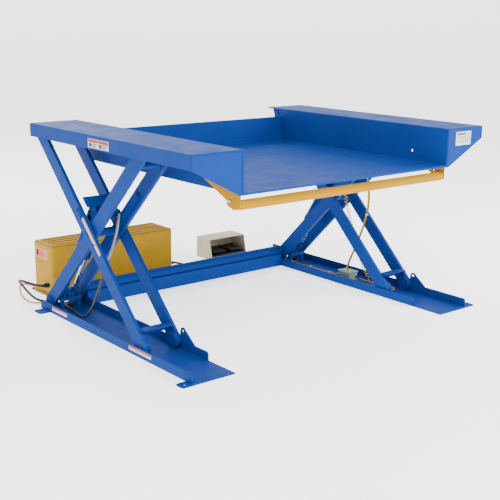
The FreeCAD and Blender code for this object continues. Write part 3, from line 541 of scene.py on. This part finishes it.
ROUTES = {
    "ram_hose_left": [
        (-0.7955, 1.578, 0.062), (-0.840, 1.580, 0.066), (-0.894, 1.580, 0.092),
        (-0.950, 1.572, 0.118), (-0.984, 1.526, 0.134), (-0.990, 1.468, 0.120),
        (-0.968, 1.430, 0.076), (-0.926, 1.430, 0.038), (-0.878, 1.430, 0.020),
        (-0.836, 1.402, 0.016), (-0.818, 1.354, 0.014), (-0.822, 1.265, 0.014),
        (-0.832, 1.185, 0.014), (-0.850, 1.100, 0.015), (-0.860, 1.020, 0.034),
        (-0.850, 0.960, 0.110), (-0.832, 0.928, 0.215), (-0.808, 0.890, 0.330),
        (-0.790, 0.852, 0.440), (-0.776, 0.836, 0.520), (-0.757, 0.846, 0.588)],
    "supply_cord_left": [
        (-0.795, 1.612, 0.052), (-0.846, 1.612, 0.057), (-0.910, 1.604, 0.088),
        (-0.964, 1.566, 0.096), (-0.982, 1.508, 0.052), (-0.950, 1.476, 0.014),
        (-0.890, 1.462, 0.007), (-0.832, 1.434, 0.008), (-0.808, 1.370, 0.014),
        (-0.795, 1.3075, 0.017)],
    "supply_hose_right": [
        (0.0405, 1.578, 0.062), (0.092, 1.577, 0.056), (0.165, 1.566, 0.026),
        (0.258, 1.540, 0.010), (0.352, 1.500, 0.007), (0.450, 1.478, 0.007),
        (0.550, 1.490, 0.007), (0.645, 1.520, 0.007), (0.730, 1.530, 0.007),
        (0.795, 1.500, 0.008), (0.826, 1.440, 0.015), (0.826, 1.376, 0.017),
        (0.825, 1.3225, 0.017)],
    "foot_switch_cord": [
        (0.790, 1.3225, 0.017), (0.790, 1.366, 0.018), (0.800, 1.424, 0.026),
        (0.842, 1.482, 0.026), (0.886, 1.552, 0.009), (0.876, 1.632, 0.005),
        (0.812, 1.668, 0.005), (0.748, 1.640, 0.005), (0.690, 1.596, 0.005),
        (0.620, 1.572, 0.005), (0.550, 1.582, 0.005), (0.514, 1.606, 0.006),
        (0.500, 1.638, 0.011), (0.500, 1.659, 0.013)],
    "deck_cable_right": [
        (0.800, 0.760, 0.972), (0.804, 0.757, 0.900), (0.812, 0.736, 0.800),
        (0.816, 0.700, 0.690), (0.813, 0.674, 0.585), (0.804, 0.660, 0.480),
        (0.786, 0.668, 0.375), (0.768, 0.694, 0.280), (0.774, 0.734, 0.200),
        (0.786, 0.776, 0.140), (0.794, 0.800, 0.095), (0.796, 0.806, 0.062)],
    "coil_cord_right": [
        (0.810, 0.878, 0.9715), (0.809, 0.874, 0.890), (0.806, 0.868, 0.770),
        (0.804, 0.858, 0.640), (0.802, 0.852, 0.540), (0.800, 0.838, 0.460),
        (0.799, 0.806, 0.385), (0.797, 0.764, 0.290), (0.799, 0.722, 0.200),
        (0.801, 0.690, 0.120), (0.801, 0.645, 0.056), (0.800, 0.600, 0.026)],
}
TAIL = 0.0036
LEADS = {
    "box_lead_yellow": [
        (0.7918, 0.846, 0.030), (0.7918, 0.880, 0.020), (0.7918, 0.930, 0.0108), (0.7918, 1.000, 0.0108),
        (0.7918, 1.080, 0.0108), (0.7918, 1.160, 0.0108), (0.791, 1.230, 0.011), (0.790, 1.275, 0.015),
        (0.790, 1.309, 0.017)],
    "box_lead_black": [
        (0.8002, 0.846, 0.030), (0.8002, 0.880, 0.020), (0.8002, 0.930, 0.0108), (0.8002, 1.000, 0.0108),
        (0.8002, 1.080, 0.0108), (0.8002, 1.150, 0.0108), (0.806, 1.215, 0.011), (0.822, 1.268, 0.015),
        (0.825, 1.309, 0.017)],
    "curly_tail": [
        (0.818, 0.754, 0.026), (0.821, 0.722, 0.018), (0.832, 0.672, 0.0102), (0.850, 0.614, 0.0102),
        (0.8615, 0.560, 0.0102), (0.8615, 0.520, 0.0102), (0.8615, 0.486, 0.0102), (0.8416, 0.466, 0.0102),
        (0.8134, 0.466, 0.0102), (0.7935, 0.486, 0.0102), (0.7935, 0.520, 0.0105), (0.7945, 0.556, 0.0135),
        (0.796, 0.590, 0.021)],
}


def route_curve(name, points, radius):
    data = bpy.data.curves.new(name, "CURVE")
    data.dimensions = "3D"
    data.resolution_u = 10
    spline = data.splines.new("NURBS")
    spline.points.add(len(points) - 1)
    for control, point in zip(spline.points, points):
        control.co = (*place(*point), 1.0)
    spline.order_u = 3
    spline.use_endpoint_u = True
    if radius:
        data.bevel_depth, data.bevel_resolution, data.use_fill_caps = radius, 5, True
    return bpy.data.objects.new(name, data)


def centreline(points):
    """Points read from the route's own smooth line."""
    guide = route_curve("guide", points, 0.0)
    link(guide)
    bpy.context.view_layer.update()
    mesh = bpy.data.meshes.new_from_object(guide)
    line = [v.co.copy() for v in mesh.vertices]
    bpy.data.meshes.remove(mesh)
    bpy.data.objects.remove(guide)
    return line


def offset_line(line, aside):
    """The same line moved over to one side, for a lead that runs beside another."""
    return [point + Vector(aside) for point in line]


def helix(line):
    """A curly cord's turns round a line, with a short plain tail at both ends."""
    spread = CURL - CURL_WIRE - CURL_GAP
    lengths = [0.0]
    for first, second in zip(line, line[1:]):
        lengths.append(lengths[-1] + (second - first).length)
    total = lengths[-1]
    count = int(total / CURL_PITCH * CURL_STEPS)
    side, points, k = frame_along(line[1] - line[0])[0], [], 0
    turn = 0.0
    for i in range(count + 1):
        along = total * i / count
        while k < len(line) - 2 and lengths[k + 1] < along:
            k += 1
        ahead = (line[k + 1] - line[k]).normalized()
        centre = line[k] + ahead * (along - lengths[k])
        side = (side - ahead * side.dot(ahead)).normalized()
        near_end = min(along, total - along)
        turn += math.tau / CURL_STEPS * min(1.0, max(0.0, (near_end - CURL_TAIL) / CURL_RAMP))
        points.append(centre + (side * math.cos(turn) + ahead.cross(side) * math.sin(turn)) * spread)
    return points


def relief(name, points, radius, finish, length=0.030, grip=1.75, body="base"):
    """A ribbed, tapered sleeve where a cord leaves its housing."""
    start, after = place(*points[0]), place(*points[1])
    mesh = bmesh.new()
    ribs, profile = 6, [(0.0, radius * grip)]
    for i in range(ribs):
        body_radius = radius * (grip - (grip - 1.12) * (i + 1) / ribs)
        along = length * (i + 0.35) / ribs
        profile += [(along, body_radius * 1.10), (along + length * 0.06, body_radius * 1.10),
                    (along + length * 0.08, body_radius), (along + length * 0.12, body_radius)]
    add_lathe(mesh, start, after - start, profile)
    return finished(name, mesh, finish, body)


def build_box_leads():
    """The pair from the junction box to the fittings at the rear, and the curly cord's tail into the box."""
    black, yellow, sleeve = materials["black_rubber"], materials["yellow_cord"], materials["black_plastic"]
    leads = (("box_lead_yellow", yellow, 0.465, LEAD), ("box_lead_black", black, 0.467, LEAD),
             ("curly_tail", yellow, 0.458, TAIL))
    for name, finish, length, radius in leads:
        points = LEADS[name]
        obj = link(route_curve(name, points, radius))
        obj.data.materials.append(finish)
        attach(obj, "base")
        sleeves = [relief(name + "_relief", points, radius, sleeve, 0.020, 1.6)]
    ties = bmesh.new()
    pair_x, pair_z, tied_at = 0.796, 0.0108, (0.960, 1.130)
    for y in tied_at:
        add_tie(ties, place(pair_x, y, pair_z), (0, 1, 0), 2 * LEAD + LEAD_GAP, LEAD + LEAD_GAP)
    finished("box_lead_ties", ties, tie_white, "base")


def build_cords():
    black, yellow = materials["black_rubber"], materials["yellow_cord"]
    plain = (("supply_cord_left", CORD, yellow, 0.566, "medium"),
             ("supply_hose_right", HOSE, black, 0.967, "stiff"),
             ("foot_switch_cord", CORD, yellow, 0.782, "medium"))
    for name, radius, finish, length, stiffness in plain:
        points = ROUTES[name]
        obj = link(route_curve(name + "_run", points, radius))
        obj.data.materials.append(finish)
        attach(obj, "base")
        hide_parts(name)
        sleeves = [relief(name + "_relief", points, radius, materials["black_plastic"]),
                   relief(name + "_end_relief", points[::-1], radius, materials["black_plastic"], 0.018, 1.6)]

    line = centreline(ROUTES["ram_hose_left"])
    mesh = bmesh.new()
    add_tube(mesh, line, HOSE, 16)
    hose = finished("ram_hose_run", mesh, sleeved_rubber, None)
    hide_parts("ram_hose_left")
    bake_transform(hose)
    sleeve = relief("ram_hose_relief", ROUTES["ram_hose_left"], HOSE, materials["black_plastic"])

    line = centreline(ROUTES["deck_cable_right"])
    ties, tied_at = bmesh.new(), (0.860, 0.640, 0.420, 0.215)
    for height in tied_at:
        k = min(range(1, len(line) - 1), key=lambda i: abs(line[i].z - height))
        add_tie(ties, line[k], line[k + 1] - line[k - 1], 2 * LEAD + LEAD_GAP, LEAD + LEAD_GAP)
    ties = finished("deck_lead_ties", ties, tie_white, "base")
    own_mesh(ties)
    pair = (("deck_lead_yellow", (-LEAD, 0, 0), yellow), ("deck_lead_black", (LEAD, 0, 0), black))
    for name, aside, finish in pair:
        path = offset_line(line, aside)
        mesh = bmesh.new()
        add_tube(mesh, path, LEAD - LEAD_GAP)
        lead = finished(name, mesh, finish, "base")
        if finish is yellow:
            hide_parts("deck_cable_right")
        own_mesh(lead)

    line = helix(centreline(ROUTES["coil_cord_right"]))
    mesh = bmesh.new()
    add_tube(mesh, line, CURL_WIRE, 8)
    coil = finished("curly_cord", mesh, yellow, "base")
    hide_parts("coil_cord_right")
    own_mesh(coil)
    clamp, after = ROUTES["coil_cord_right"][:2]
    top_sleeve = relief("curly_cord_relief", [(*clamp[:2], 0.9725), after], 0.0075, black, 0.024, body="deck")
    build_box_leads()


# Stage and light

def build_stage():
    """A pale floor that sweeps up far outside the view."""
    mesh = bmesh.new()
    steps, rings = 96, []
    sweep = ((0.0, 0.0), (4.0, 0.0), (9.0, 0.0), (12.0, 0.25), (14.0, 1.0), (15.0, 2.4), (15.4, 4.5))
    for radius, height in sweep:
        if radius == 0.0:
            rings.append([mesh.verts.new((0, 0, height))])
        else:
            rings.append([mesh.verts.new((radius * math.cos(t), radius * math.sin(t), height))
                          for t in (math.tau * i / steps for i in range(steps))])
    for i in range(steps):
        mesh.faces.new((rings[0][0], rings[1][i], rings[1][(i + 1) % steps]))
        for first, second in zip(rings[1:], rings[2:]):
            j = (i + 1) % steps
            mesh.faces.new((first[i], second[i], second[j], first[j]))
    n = Nodes("pale floor")
    n.colour(n.blend(n.noise(0.8), (0.96, 0.96, 0.96), (0.98, 0.98, 0.98)))
    n.set(Roughness=0.9, Emission_Color=(1.0, 1.0, 1.0, 1.0), Emission_Strength=1.2)
    finished("floor", mesh, n.material, None)


def area_light(name, spot, target, size, power):
    data = bpy.data.lights.new(name, "AREA")
    data.shape, data.size, data.energy = "DISK", size, power
    obj = link(bpy.data.objects.new(name, data))
    aim = (Vector(target) - Vector(spot)).to_track_quat("-Z", "Y")
    obj.matrix_world = Matrix.Translation(spot) @ aim.to_matrix().to_4x4()


def build_light():
    world = bpy.data.worlds.new("studio")
    world.use_nodes = True
    world.node_tree.nodes["Background"].inputs["Color"].default_value = (0.97, 0.98, 1.0, 1.0)
    world.node_tree.nodes["Background"].inputs["Strength"].default_value = 1.35
    bpy.context.scene.world = world
    area_light("key", (-2.2, -4.6, 5.0), (0, 0, 0.5), 3.2, 400)
    area_light("fill", (4.5, -3.0, 3.2), (0, 0, 0.4), 3.5, 420)
    area_light("back", (0.5, 5.5, 4.4), (0, 0, 0.8), 3.0, 300)


make_camera()
build_cords()
build_labels()
build_welds()
build_fixings()
dress_frame()
build_stage()
build_light()
